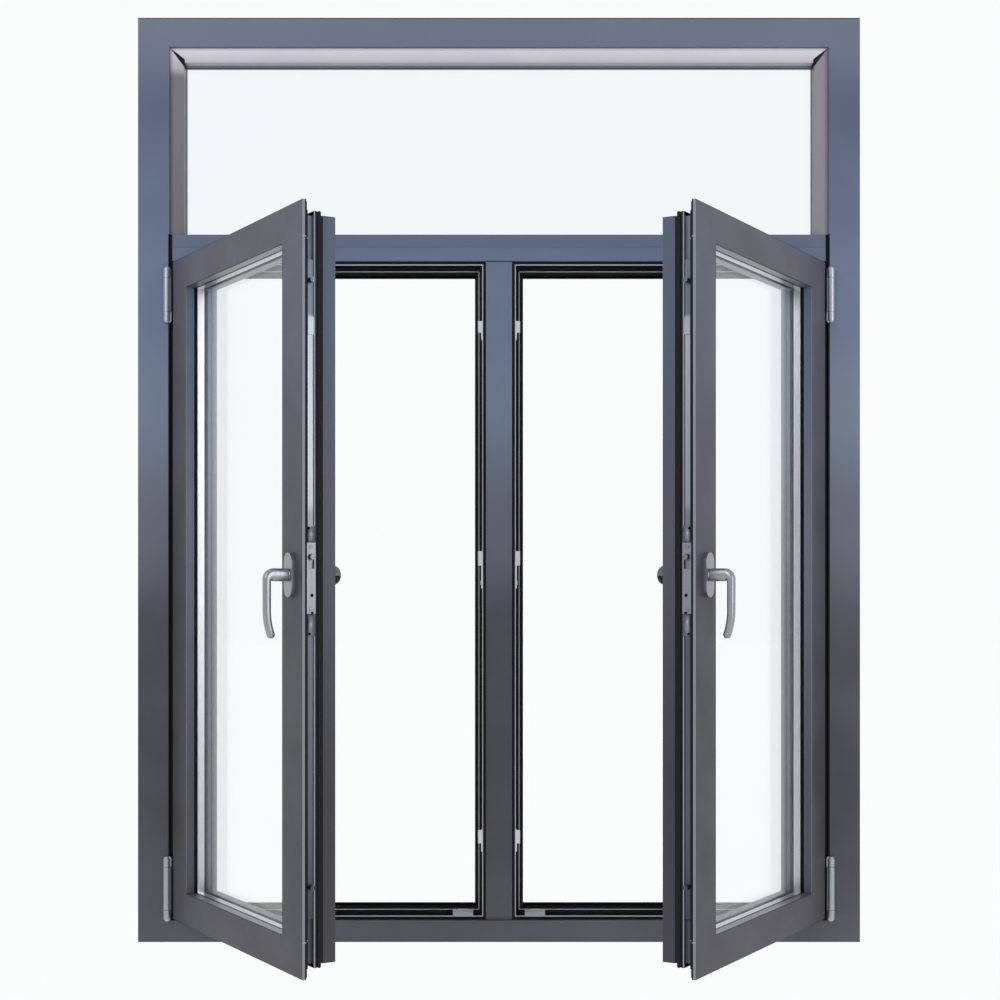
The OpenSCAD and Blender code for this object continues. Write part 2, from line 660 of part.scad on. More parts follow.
module lock_cams() {
    steel() from_lock_edge() for (z = cam_h) union() {
        rod_x(5, 14.4, groove_t, z, cam_r);
        rod_x(groove_i + 0.3, 14.4, groove_t, z, 4.5);
    }
}
module screws() {
    steel() from_lock_edge() {
        for (d = [-20, 20]) rod_y(-5.4, 14, spindle_i, spindle_h + d, 2.5);
        for (d = [-51, 41]) union() {
            rod_x(10.9, 12.5, groove_t, spindle_h + d, 2);
            rod_x(10.1, 10.9, groove_t, spindle_h + d, 3.4);
        }
    }
}

frame_head();
frame_jamb_left();
frame_jamb_right();
frame_sill();
transom();
mullion();
frame_thermal_breaks();
frame_cleats();
frame_gaskets();
toplight_room_pane();
toplight_weather_pane();
toplight_spacer();
toplight_beads();
keeps();
support_blocks();
frame_screws();
hinge_frame_leaves();
hinge_pins();

at_left() lock_stile();  // left_lock_stile
at_left() hinge_stile();  // left_hinge_stile
at_left() top_rail();  // left_top_rail
at_left() bottom_rail();  // left_bottom_rail
at_left() thermal_breaks();  // left_thermal_breaks
at_left() corner_cleats();  // left_corner_cleats
at_left() room_pane();  // left_room_pane
at_left() weather_pane();  // left_weather_pane
at_left() spacer();  // left_spacer
at_left() beads();  // left_beads
at_left() glazing_gaskets();  // left_glazing_gaskets
at_left() overlap_gasket();  // left_overlap_gasket
at_left() hinge_leaves();  // left_hinge_leaves
at_left() handle_base();  // left_handle_base
at_left() gearbox();  // left_gearbox
at_left() handle_lever();  // left_handle_lever
at_left() spindle();  // left_spindle
at_left() outside_knob();  // left_outside_knob
at_left() drive_rods();  // left_drive_rods
at_left() lock_cams();  // left_lock_cams
at_left() screws();  // left_screws

at_right() lock_stile();  // right_lock_stile
at_right() hinge_stile();  // right_hinge_stile
at_right() top_rail();  // right_top_rail
at_right() bottom_rail();  // right_bottom_rail
at_right() thermal_breaks();  // right_thermal_breaks
at_right() corner_cleats();  // right_corner_cleats
at_right() room_pane();  // right_room_pane
at_right() weather_pane();  // right_weather_pane
at_right() spacer();  // right_spacer
at_right() beads();  // right_beads
at_right() glazing_gaskets();  // right_glazing_gaskets
at_right() overlap_gasket();  // right_overlap_gasket
at_right() hinge_leaves();  // right_hinge_leaves
at_right() handle_base();  // right_handle_base
at_right() gearbox();  // right_gearbox
at_right() handle_lever();  // right_handle_lever
at_right() spindle();  // right_spindle
at_right() outside_knob();  // right_outside_knob
at_right() drive_rods();  // right_drive_rods
at_right() lock_cams();  // right_lock_cams
at_right() screws();  // right_screws
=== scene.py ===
"""Looks for the twin casement window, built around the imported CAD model.

Metres, +Z up, room side at -Y. The sashes stand open at rest, so their masks measure along the
handle's axes instead of the world's.
"""
import json
import math

import bmesh
import bpy
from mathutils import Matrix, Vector


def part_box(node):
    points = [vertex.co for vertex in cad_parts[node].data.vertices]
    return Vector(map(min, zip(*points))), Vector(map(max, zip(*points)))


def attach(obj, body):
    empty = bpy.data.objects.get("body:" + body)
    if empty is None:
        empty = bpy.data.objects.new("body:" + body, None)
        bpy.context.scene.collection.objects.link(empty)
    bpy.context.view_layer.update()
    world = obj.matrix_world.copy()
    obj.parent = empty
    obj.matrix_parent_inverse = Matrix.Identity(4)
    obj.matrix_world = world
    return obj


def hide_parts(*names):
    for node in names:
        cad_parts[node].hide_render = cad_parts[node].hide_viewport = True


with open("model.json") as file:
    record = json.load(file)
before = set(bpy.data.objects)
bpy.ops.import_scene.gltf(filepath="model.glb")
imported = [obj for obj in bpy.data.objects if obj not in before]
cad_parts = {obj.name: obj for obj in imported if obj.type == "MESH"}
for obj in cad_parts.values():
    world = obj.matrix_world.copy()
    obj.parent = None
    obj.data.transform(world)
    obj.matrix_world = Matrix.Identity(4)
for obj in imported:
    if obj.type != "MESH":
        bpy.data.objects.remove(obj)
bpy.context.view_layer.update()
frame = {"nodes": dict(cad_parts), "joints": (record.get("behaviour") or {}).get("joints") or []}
NODES = frame["nodes"]
JOINTS = {joint["name"]: joint for joint in frame["joints"]}
MM = 0.001
SIDES = {"left": -1, "right": 1}

# Planes of the fixed frame, read from the CAD
jamb_low, jamb_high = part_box("frame_jamb_left")
ROOM_Y = jamb_low.y
WEATHER_Y = jamb_high.y
TOP_Z = jamb_high.z
FLANGE_HANG = 20 * MM       # the weather flange reaches this far past the room face
HEAD_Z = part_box("frame_head")[0].z + FLANGE_HANG
SILL_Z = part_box("frame_sill")[1].z - FLANGE_HANG
INNER_X = -jamb_high.x + FLANGE_HANG
HALF_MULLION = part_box("mullion")[1].x - FLANGE_HANG
TRANSOM_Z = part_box("transom")[0].z + FLANGE_HANG
TRANSOM_FACE = 46 * MM      # leg and bottom bead together
BEAD_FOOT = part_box("toplight_spacer")[0].z - 0.5 * MM
HINGE_X = abs(JOINTS["left_sash_swing"]["pos_m"][0])
HINGE_Y = JOINTS["left_sash_swing"]["pos_m"][1]

# Sash sizes, from the CAD
SASH_WIDTH = 539 * MM
LOCK_STILE_W = 72 * MM
HINGE_STILE_W = 64 * MM
RAIL_W = 54 * MM
SPINDLE_INSET = 36 * MM


# ------------------------------------------------------------------ node helpers
def new_material(name):
    material = bpy.data.materials.new(name)
    material.use_nodes = True
    tree = material.node_tree
    shader = tree.nodes["Principled BSDF"]
    return material, tree, shader


def node(tree, kind, **settings):
    made = tree.nodes.new(kind)
    for key, value in settings.items():
        setattr(made, key, value)
    return made


def feed(tree, socket, value):
    """Links a node's output, or sets a plain value."""
    if isinstance(value, bpy.types.NodeSocket):
        tree.links.new(value, socket)
    else:
        socket.default_value = value


def maths(tree, operation, a, b=0.0):
    made = node(tree, "ShaderNodeMath", operation=operation)
    feed(tree, made.inputs[0], a)
    feed(tree, made.inputs[1], b)
    return made.outputs[0]


def scale_add(tree, value, factor, offset):
    made = node(tree, "ShaderNodeMath", operation="MULTIPLY_ADD")
    feed(tree, made.inputs[0], value)
    made.inputs[1].default_value = factor
    made.inputs[2].default_value = offset
    return made.outputs[0]


def ramp_between(tree, value, low, high):
    """0 below low, 1 above high."""
    made = node(tree, "ShaderNodeMapRange", clamp=True)
    feed(tree, made.inputs["Value"], value)
    made.inputs["From Min"].default_value = low
    made.inputs["From Max"].default_value = high
    return made.outputs["Result"]


def mix(tree, factor, a, b):
    made = node(tree, "ShaderNodeMix", data_type="RGBA")
    feed(tree, made.inputs["Factor"], factor)
    feed(tree, made.inputs["A"], a)
    feed(tree, made.inputs["B"], b)
    return made.outputs["Result"]


def object_point(tree):
    return node(tree, "ShaderNodeTexCoord").outputs["Object"]


def split_point(tree):
    split = node(tree, "ShaderNodeSeparateXYZ")
    tree.links.new(object_point(tree), split.inputs[0])
    return split.outputs


def noise(tree, scale, detail=3.0, stretch=(1, 1, 1)):
    mapping = node(tree, "ShaderNodeMapping")
    mapping.inputs["Scale"].default_value = stretch
    tree.links.new(object_point(tree), mapping.inputs["Vector"])
    made = node(tree, "ShaderNodeTexNoise")
    made.inputs["Scale"].default_value = scale
    made.inputs["Detail"].default_value = detail
    tree.links.new(mapping.outputs["Vector"], made.inputs["Vector"])
    return made.outputs["Fac"]


def bump(tree, shader, height, strength, distance):
    made = node(tree, "ShaderNodeBump")
    made.inputs["Strength"].default_value = strength
    made.inputs["Distance"].default_value = distance
    tree.links.new(height, made.inputs["Height"])
    tree.links.new(made.outputs["Normal"], shader.inputs["Normal"])


def srgb(red, green, blue):
    """8-bit sRGB to linear, with alpha."""
    def channel(level):
        level /= 255
        return level / 12.92 if level <= 0.04045 else ((level + 0.055) / 1.055) ** 2.4
    return (channel(red), channel(green), channel(blue), 1)


def height_ramp(tree, stops):
    """Colour along the window's height, carrying the painted light and shade of the stops: stops are (height in
    metres, colour).
    """
    along = maths(tree, "DIVIDE", split_point(tree)["Z"], TOP_Z)
    made = node(tree, "ShaderNodeValToRGB")
    made.color_ramp.interpolation = "EASE"
    elements = made.color_ramp.elements
    elements.remove(elements[1])
    elements[0].position = stops[0][0] / TOP_Z
    elements[0].color = stops[0][1]
    for height, colour in stops[1:]:
        elements.new(height / TOP_Z).color = colour
    tree.links.new(along, made.inputs["Fac"])
    return made.outputs["Color"]


# ------------------------------------------------------------------ materials
PAINT_FLECK = srgb(128, 136, 150)
PAINT_SPECULAR = 0.2
RUBBER_SPECULAR = 0.15
METALLIC = 0.9


def overlaid(tree, colour, overlays):
    """Lays (mask function, tint) pairs over a colour. A tint is a colour, or stops for height_ramp."""
    for mask, tint in overlays:
        colour = mix(tree, mask(tree), colour, height_ramp(tree, tint) if isinstance(tint, list) else tint)
    return colour


def powder_coat(name, stops, overlays=()):
    """Satin paint whose colour changes with height, painting in the reflections and shade of the light."""
    material, tree, shader = new_material(name)
    mottle = ramp_between(tree, noise(tree, 9.0), 0.35, 0.75)
    colour = mix(tree, maths(tree, "MULTIPLY", mottle, 0.1), height_ramp(tree, stops), PAINT_FLECK)
    tree.links.new(overlaid(tree, colour, overlays), shader.inputs["Base Color"])
    tree.links.new(scale_add(tree, noise(tree, 40.0), 0.12, 0.36), shader.inputs["Roughness"])
    bump(tree, shader, noise(tree, 900.0, 2.0), 0.12, 0.0002)
    shader.inputs["Specular IOR Level"].default_value = PAINT_SPECULAR
    return material


def metal(name, colour, roughness=0.32, brushed=(1, 1, 1), stops=None, overlays=()):
    """Metal with a fine streak, one colour or stops along the height."""
    material, tree, shader = new_material(name)
    streak = noise(tree, 260.0, 4.0, brushed)
    base = height_ramp(tree, stops) if stops else colour
    darker = tuple(0.55 * c for c in colour[:3]) + (1,)
    base = mix(tree, maths(tree, "MULTIPLY", streak, 0.25), base, darker)
    tree.links.new(overlaid(tree, base, overlays), shader.inputs["Base Color"])
    tree.links.new(scale_add(tree, streak, 0.16, roughness - 0.08), shader.inputs["Roughness"])
    shader.inputs["Metallic"].default_value = METALLIC
    bump(tree, shader, streak, 0.05, 0.0001)
    return material


def plastic(name, colour, roughness=0.6, grain=500.0, overlays=()):
    material, tree, shader = new_material(name)
    speck = noise(tree, grain, 3.0)
    lighter = tuple(1.8 * c for c in colour[:3]) + (1,)
    base = mix(tree, maths(tree, "MULTIPLY", speck, 0.5), colour, lighter)
    tree.links.new(overlaid(tree, base, overlays), shader.inputs["Base Color"])
    tree.links.new(scale_add(tree, speck, 0.2, roughness - 0.1), shader.inputs["Roughness"])
    bump(tree, shader, speck, 0.15, 0.0002)
    shader.inputs["Specular IOR Level"].default_value = RUBBER_SPECULAR
    return material


def clear_glass(name):
    material, tree, shader = new_material(name)
    haze = ramp_between(tree, noise(tree, 3.0), 0.3, 0.8)
    tint = mix(tree, haze, (0.985, 0.992, 0.995, 1), (0.975, 0.985, 0.99, 1))
    tree.links.new(tint, shader.inputs["Base Color"])
    tree.links.new(maths(tree, "MULTIPLY", haze, 0.015), shader.inputs["Roughness"])
    shader.inputs["Transmission Weight"].default_value = 1.0
    shader.inputs["IOR"].default_value = 1.3
    return material


# ------------------------------------------------------------------ mask arithmetic
def minus(tree, a, b):
    return maths(tree, "SUBTRACT", a, b)


def absolute(tree, value):
    return maths(tree, "ABSOLUTE", value)


def less(tree, value, limit):
    return maths(tree, "LESS_THAN", value, limit)


def more(tree, value, limit):
    return maths(tree, "GREATER_THAN", value, limit)


def chain(tree, operation, values):
    result = values[0]
    for value in values[1:]:
        result = maths(tree, operation, result, value)
    return result


def both(tree, *masks):
    return chain(tree, "MULTIPLY", masks)


def either(tree, *masks):
    return chain(tree, "MAXIMUM", masks)


def smallest(tree, *values):
    return chain(tree, "MINIMUM", values)


def between(tree, value, low, high):
    return both(tree, more(tree, value, low), less(tree, value, high))


def square_reach(tree, a, b):
    """Square of the distance whose two legs are a and b."""
    return maths(tree, "ADD", maths(tree, "MULTIPLY", a, a), maths(tree, "MULTIPLY", b, b))


def dot(tree, vector, direction):
    made = node(tree, "ShaderNodeVectorMath", operation="DOT_PRODUCT")
    tree.links.new(vector, made.inputs[0])
    made.inputs[1].default_value = direction
    return made.outputs["Value"]


# ------------------------------------------------------------------ masks of the fixed frame
# Bands of the frame's section: insets are past the edge of the room leg, depths from the room face
ROOM_FACE = 9 * MM          # everything nearer than this belongs to the room face
TEE_SETBACK = 5.5 * MM      # transom and mullion stand back by a little more than this
TEE_FACE = 8 * MM
LIP_TIP_INSET = (5.3 * MM, 6.8 * MM)
LIP_TIP_DEPTH = (9.5 * MM, 11.2 * MM)
RIDGE_INSET = (12.2 * MM, 13.4 * MM)
JOINT_GAP = 4.4 * MM
BEAD_FACE = 7 * MM
BEAD_WIDTH = 23 * MM


def opening_offset(tree):
    """How far a point lies inside a sash opening, past the edges of the room leg."""
    x, _, z = split_point(tree)
    wide = absolute(tree, x)
    return smallest(tree, minus(tree, INNER_X, wide), minus(tree, wide, HALF_MULLION),
                    minus(tree, z, SILL_Z), minus(tree, TRANSOM_Z, z))


def frame_rebate_shade(tree):
    """Painted shade in the rebates: inside the frame's outline, behind the room face."""
    x, y, z = split_point(tree)
    wide = absolute(tree, x)
    inside = both(tree, less(tree, wide, INNER_X + 0.5 * MM), between(tree, z, SILL_Z - 0.5 * MM, HEAD_Z),
                  less(tree, y, WEATHER_Y - 3.2 * MM))
    tee = both(tree, more(tree, wide, HALF_MULLION + 0.1 * MM), between(tree, z, SILL_Z, TRANSOM_Z - 0.1 * MM),
               more(tree, y, ROOM_Y + 6.5 * MM))
    deep = ramp_between(tree, y, ROOM_Y + 8 * MM, ROOM_Y + 9.5 * MM)
    return both(tree, inside, either(tree, tee, deep))


def lip_highlight(tree):
    """Painted highlight on the tips of the front lips of the hardware groove."""
    depth = minus(tree, split_point(tree)["Y"], ROOM_Y)
    return both(tree, between(tree, opening_offset(tree), *LIP_TIP_INSET), between(tree, depth, *LIP_TIP_DEPTH))


def gasket_ridge_highlight(tree):
    """Painted highlight along the ridge of the centre gasket."""
    return between(tree, opening_offset(tree), *RIDGE_INSET)


def arris_shade_and_joint(tree):
    """Painted shade along the top and bottom arrises, and the dark joint line where the mullion meets the transom.
    """
    x, y, z = split_point(tree)
    ends = either(tree, more(tree, z, TOP_Z - 1.5 * MM), less(tree, z, 1.4 * MM))
    joint = both(tree, between(tree, z, TRANSOM_Z - 1.6 * MM, TRANSOM_Z + 0.4 * MM),
                 less(tree, absolute(tree, x), HALF_MULLION + 1 * MM), less(tree, y, ROOM_Y + ROOM_FACE))
    return either(tree, ends, joint)


def jamb_shadow(tree):
    """The dark edge of the jambs beside the sashes."""
    x, y, z = split_point(tree)
    return both(tree, between(tree, absolute(tree, x), INNER_X - 1 * MM, INNER_X + 1.8 * MM),
                between(tree, z, SILL_Z, TRANSOM_Z + TRANSOM_FACE), less(tree, y, ROOM_Y + ROOM_FACE))


def tee_shadow(tree):
    """Painted shadow at the joint between the transom's ends and the jambs, where the transom stands back."""
    x, y, z = split_point(tree)
    return both(tree, more(tree, absolute(tree, x), INNER_X - JOINT_GAP),
                between(tree, z, TRANSOM_Z, TRANSOM_Z + TRANSOM_FACE),
                between(tree, y, ROOM_Y + TEE_SETBACK, ROOM_Y + TEE_FACE))


def bead_face(tree):
    """Room faces of the top light's beads, which take the frame face's painted bluish reflection tone."""
    return less(tree, split_point(tree)["Y"], ROOM_Y + BEAD_FACE)


def right_bead(tree):
    """The top light's right reveal, which catches more light than the left one."""
    x, _, z = split_point(tree)
    across = minus(tree, INNER_X, x)
    return both(tree, less(tree, across, minus(tree, HEAD_Z, z)), less(tree, across, BEAD_WIDTH),
                more(tree, z, BEAD_FOOT + 1 * MM))


def mitre_joint_shade(tree):
    """The mitre joint where the top light's beads meet in the top corners, with a widening wedge of painted shade.
    """
    x, _, z = split_point(tree)
    across = minus(tree, INNER_X, absolute(tree, x))
    off = absolute(tree, minus(tree, minus(tree, HEAD_Z, z), across))
    return both(tree, less(tree, off, maths(tree, "MULTIPLY", across, 0.3)), less(tree, across, 24 * MM))


def hinge_leaf_shade(tree):
    """Everything on a hinge outside its barrel, painted near black as shade in the rebate."""
    x, y, _ = split_point(tree)
    reach = square_reach(tree, minus(tree, absolute(tree, x), HINGE_X), minus(tree, y, HINGE_Y))
    return more(tree, reach, (8.4 * MM) ** 2)


# ------------------------------------------------------------------ masks of the sashes
# Bands of the sash's section: depths from its room face, insets from its outer edge
FACE_SKIN = 0.7 * MM
FLANGE_EDGE = (0.4 * MM, 4.2 * MM)
FLANGE_BACK = (4.2 * MM, 5.0 * MM)
RIM_INSET = 20.9 * MM
BOX_FRONT = 40.9 * MM
BOX_INSET = 17.6 * MM
LIP_INSET, LIP_DEPTH = (12 * MM, 13 * MM), (24 * MM, 26.2 * MM)
GROOVE_INSET, GROOVE_DEPTH = (18 * MM, 20 * MM), (12 * MM, 27 * MM)
REVEAL_WALL = (-0.65 * MM, 0.5 * MM)
REVEAL_DEPTH = (0.9 * MM, 17.6 * MM)
ROOM_GASKET = (14.6 * MM, 17.6 * MM)
WEATHER_GASKET = 44.3 * MM
RAIL_FADE = 0.22            # the rails' walls are fully lit this far from the hinge edge
# Painted shade spots standing in for the holes of the lock's face plate and guides: (height from the spindle,
# depth, radius) in mm
PLATE_MARKS = [(25, 17.5, 1.4), (-30, 20.5, 2.6), (-49, 19.5, 1.3), (-55.5, 21, 2.4), (68, 15.5, 2.2),
               (-86.5, 17, 2.0)]


def handle_axes(side):
    """Spindle point on the sash face, direction into the room, direction to the lock edge, up."""
    joint = JOINTS[f"{side}_handle_turn"]
    outward = Vector(joint["axis"]).normalized()
    outward = outward if outward.y > 0 else -outward
    up = Vector((0, 0, 1))
    return Vector(joint["pos_m"]), -outward, outward.cross(up) * -SIDES[side], up


def sash_place(tree, side):
    """(depth from the sash face, distance in from the lock edge, height over the foot, distance below the top)."""
    origin, room, lockward, _ = handle_axes(side)
    point = object_point(tree)
    z = split_point(tree)["Z"]
    return (minus(tree, origin.dot(room), dot(tree, point, room)),
            minus(tree, origin.dot(lockward) + SPINDLE_INSET, dot(tree, point, lockward)),
            minus(tree, z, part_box(f"{side}_bottom_rail")[0].z),
            minus(tree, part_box(f"{side}_top_rail")[1].z, z))


def rim_fields(tree, side):
    """(depth, distance in from the nearest outer edge)."""
    depth, inset, over, under = sash_place(tree, side)
    return depth, smallest(tree, inset, minus(tree, SASH_WIDTH, inset), over, under)


def reveal_fields(tree, side):
    """(depth, distance inside the stiles' inner edges, the same for the rails, distance from the hinge edge)."""
    depth, inset, over, under = sash_place(tree, side)
    from_hinge = minus(tree, SASH_WIDTH, inset)
    stiles = smallest(tree, minus(tree, inset, LOCK_STILE_W), minus(tree, from_hinge, HINGE_STILE_W))
    rails = smallest(tree, minus(tree, over, RAIL_W), minus(tree, under, RAIL_W))
    return depth, stiles, rails, from_hinge


def sided(mask):
    """Turns mask(tree, side) into a maker of mask functions, one for each side."""
    return lambda side: lambda tree: mask(tree, side)


@sided
def stile_reveal(tree, side):
    """The stiles' walls of the glazing opening, in front of the glass, painted in the lighter tone they take in
    the light.
    """
    depth, stiles, _, _ = reveal_fields(tree, side)
    return both(tree, between(tree, stiles, *REVEAL_WALL), between(tree, depth, *REVEAL_DEPTH))


@sided
def rail_reveal_painted_light(tree, side):
    """Painted light on the rails' walls, which grows away from the hinges."""
    depth, _, rails, from_hinge = reveal_fields(tree, side)
    return both(tree, between(tree, rails, *REVEAL_WALL), between(tree, depth, *REVEAL_DEPTH),
                ramp_between(tree, from_hinge, HINGE_STILE_W, RAIL_FADE))


@sided
def reveal_arris_highlight(tree, side):
    """Painted highlight on the front edge of the glazing opening along the hinge stile."""
    depth, stiles, _, from_hinge = reveal_fields(tree, side)
    return both(tree, between(tree, stiles, -0.6 * MM, 0.5 * MM), between(tree, depth, 0.1 * MM, 1.3 * MM),
                less(tree, from_hinge, 2 * HINGE_STILE_W))


@sided
def reveal_back(tree, side):
    """The dark line of the room gasket around the glass, painted wider on the wall as the rubber's black and the
    shade at the gasket.
    """
    depth, stiles, rails, _ = reveal_fields(tree, side)
    return both(tree, between(tree, smallest(tree, stiles, rails), *REVEAL_WALL),
                between(tree, depth, *ROOM_GASKET))


@sided
def face_edge_shade(tree, side):
    """Thin lines of painted shade on the sash face: its top and bottom edges, and the rails' and lock stile's
    inner edges.
    """
    depth, _, rails, from_hinge = reveal_fields(tree, side)
    _, _, over, under = sash_place(tree, side)
    lock_edge = SASH_WIDTH - LOCK_STILE_W
    ends = less(tree, smallest(tree, over, under), 1.4 * MM)
    inner = both(tree, between(tree, rails, -1.2 * MM, 0.3 * MM),
                 between(tree, from_hinge, HINGE_STILE_W, lock_edge))
    stile = both(tree, between(tree, from_hinge, lock_edge - 0.3 * MM, lock_edge + 1.2 * MM),
                 more(tree, rails, -1 * MM))
    return both(tree, either(tree, ends, inner, stile), less(tree, depth, FACE_SKIN))


@sided
def weather_box(tree, side):
    """The weather-side bar, where it shows past the seal."""
    depth, edge = rim_fields(tree, side)
    return both(tree, more(tree, depth, BOX_FRONT), less(tree, edge, BOX_INSET))


@sided
def glazing_shadow(tree, side):
    """The dark line where the beads meet the weather pane."""
    return less(tree, sash_place(tree, side)[0], WEATHER_GASKET)


@sided
def groove_floor(tree, side):
    """The floor of the hardware groove."""
    depth, edge = rim_fields(tree, side)
    return both(tree, between(tree, edge, *GROOVE_INSET), between(tree, depth, *GROOVE_DEPTH))


@sided
def sash_rim_shade(tree, side):
    """Painted shade on the edge of the sash between its flange and the weather-side bar, with the overlap gasket's
    black.
    """
    depth, edge = rim_fields(tree, side)
    return both(tree, less(tree, edge, RIM_INSET), ramp_between(tree, depth, *FLANGE_BACK),
                less(tree, depth, BOX_FRONT))


@sided
def sash_edge_highlight(tree, side):
    """Painted highlight on the outer edge of the flange."""
    depth, edge = rim_fields(tree, side)
    return both(tree, less(tree, edge, 0.9 * MM), between(tree, depth, *FLANGE_EDGE))


@sided
def sash_groove_lip_highlight(tree, side):
    """Painted highlight on the tip of the groove's rear lip."""
    depth, edge = rim_fields(tree, side)
    return both(tree, between(tree, edge, *LIP_INSET), between(tree, depth, *LIP_DEPTH))


# Painted shade spots standing in for holes in the lock's face plate and guides.
@sided
def plate_hole_shade(tree, side):
    depth = sash_place(tree, side)[0]
    z = split_point(tree)["Z"]
    spindle_z = JOINTS[f"{side}_handle_turn"]["pos_m"][2]
    spots = [less(tree, square_reach(tree, minus(tree, z, spindle_z + up * MM), minus(tree, depth, deep * MM)),
                  (radius * MM) ** 2) for up, deep, radius in PLATE_MARKS]
    return either(tree, *spots)


@sided
def knob_shade(tree, side):
    """Painted shade on the knob's lower half."""
    return less(tree, split_point(tree)["Z"], JOINTS[f"{side}_handle_turn"]["pos_m"][2] - 1 * MM)


# ------------------------------------------------------------------ colours
# Paints by height, as (metres, colour). These are painted light: each surface's reflection and shade, bluish and
# brighter up high, darker and neutral lower down.
FRAME_STOPS = [(0.0, srgb(83, 84, 90)), (0.25, srgb(72, 72, 77)), (0.53, srgb(75, 75, 82)),
               (0.72, srgb(103, 105, 118)), (0.93, srgb(114, 126, 145)), (1.12, srgb(102, 115, 139)),
               (1.28, srgb(90, 101, 125)), (1.45, srgb(83, 90, 112)), (1.56, srgb(101, 106, 125))]
SASH_STOPS = [(0.0, srgb(64, 63, 67)), (0.3, srgb(57, 56, 61)), (0.55, srgb(61, 60, 66)), (0.78, srgb(65, 65, 74)),
              (1.08, srgb(74, 80, 93)), (1.17, srgb(76, 77, 87))]
# Inner beads: the painted light on their walls, lighter and bluish higher up.
INNER_BEAD_STOPS = [(0.0, srgb(112, 113, 118)), (0.55, srgb(122, 125, 134)), (0.9, srgb(144, 152, 166)),
                    (1.1, srgb(140, 150, 168))]
RAIL_STOPS = [(0.0, srgb(64, 62, 67)), (0.3, srgb(58, 56, 61)), (1.0, srgb(72, 71, 78)), (1.16, srgb(74, 74, 83))]
# Stiles' reveal walls: the lighter painted tone they take in the light.
STILE_REVEAL = [(0.25, srgb(99, 98, 108)), (0.72, srgb(119, 125, 140)), (1.05, srgb(106, 118, 140))]
# Weather-side bar: its own dark grey, with the same painted reflection towards the top.
WEATHER_BOX = [(0.0, srgb(66, 65, 70)), (0.3, srgb(63, 62, 66)), (0.72, srgb(79, 81, 91)),
               (1.05, srgb(79, 89, 105))]
# Groove floor: even, then the frame face's painted bluish reflection at the top.
GROOVE_FLOOR = [(0.1, srgb(84, 86, 96)), (1.0, srgb(84, 86, 96)), (1.06, srgb(116, 128, 144))]
# Drive rods: darker low down, bright between the gearbox and the end block, and the groove floor's painted bluish
# tone above it.
ROD_STOPS = [(0.1, srgb(68, 70, 78)), (0.3, srgb(90, 92, 100)), (0.56, srgb(88, 90, 98)),
             (0.565, srgb(120, 122, 128)), (0.72, srgb(120, 124, 130)), (0.735, srgb(148, 154, 161)),
             (1.005, srgb(150, 157, 165)), (1.01, srgb(88, 99, 113)), (1.1, srgb(88, 99, 113))]
# Top light's beads: the bottom bead's face in the frame face's painted reflection tone, the side reveals in
# painted warm grey light, the top reveal brightest, painted as lit from below.
BEAD_STOPS = [(1.1, srgb(93, 106, 130)), (BEAD_FOOT, srgb(90, 101, 124)),
              (BEAD_FOOT + 1 * MM, srgb(112, 106, 111)), (1.5, srgb(116, 111, 116)),
              (1.52, srgb(180, 176, 181)), (1.545, srgb(214, 210, 215))]
# Knob: painted light, lighter towards its top.
KNOB_STOPS = [(0.5, srgb(92, 94, 100)), (0.7, srgb(104, 106, 112))]
# Near black painted as shade in rebates, joints and on the sash rim, and as the rubber's black at the gaskets.
SHADE_AND_RUBBER_BLACK = srgb(9, 9, 12)
RUBBER_BLACK = srgb(16, 16, 18)


def sash_coat(side, name, stops):
    # The overlays paint the sash's light and shade: shade on the rim, edge lines and gasket line, highlights on
    # the flange edge, groove lip and reveal arris, and lighter painted tones on the reveal walls.
    return powder_coat(f"{side}_{name}_powder_coat", stops, [
        (sash_rim_shade(side), SHADE_AND_RUBBER_BLACK), (sash_edge_highlight(side), srgb(128, 131, 142)),
        (sash_groove_lip_highlight(side), srgb(150, 154, 162)), (groove_floor(side), GROOVE_FLOOR),
        (stile_reveal(side), STILE_REVEAL), (rail_reveal_painted_light(side), srgb(166, 166, 172)),
        (reveal_arris_highlight(side), srgb(138, 140, 150)), (reveal_back(side), SHADE_AND_RUBBER_BLACK),
        (weather_box(side), WEATHER_BOX), (face_edge_shade(side), srgb(24, 24, 29))])


# Painted shade in the rebates, joints and arrises, and painted highlights on the groove lips.
frame_paint = powder_coat("frame_powder_coat", FRAME_STOPS, [
    (frame_rebate_shade, SHADE_AND_RUBBER_BLACK), (lip_highlight, srgb(196, 199, 206)), (tee_shadow, SHADE_AND_RUBBER_BLACK),
    (arris_shade_and_joint, srgb(40, 42, 52)), (jamb_shadow, SHADE_AND_RUBBER_BLACK)])
# The top light's beads get painted light: a lighter right reveal, painted shade in the mitre wedges and at the
# transom's ends, and the frame face's painted reflection tone on their room faces.
bead_paint = powder_coat("bead_powder_coat", BEAD_STOPS, [
    (right_bead, srgb(140, 135, 141)), (mitre_joint_shade, srgb(14, 14, 18)), (bead_face, srgb(93, 104, 126)),
    (tee_shadow, SHADE_AND_RUBBER_BLACK)])
stile_paint = {side: sash_coat(side, "stile", SASH_STOPS) for side in SIDES}
rail_paint = {side: sash_coat(side, "rail", RAIL_STOPS) for side in SIDES}
inner_bead_paint = {side: powder_coat(f"{side}_bead_powder_coat", INNER_BEAD_STOPS,
                                      [(glazing_shadow(side), srgb(16, 16, 20))]) for side in SIDES}
# The knob's lower half is painted in shade.
knob_paint = {side: powder_coat(f"{side}_knob_coat", KNOB_STOPS, [(knob_shade(side), srgb(20, 20, 22))])
              for side in SIDES}
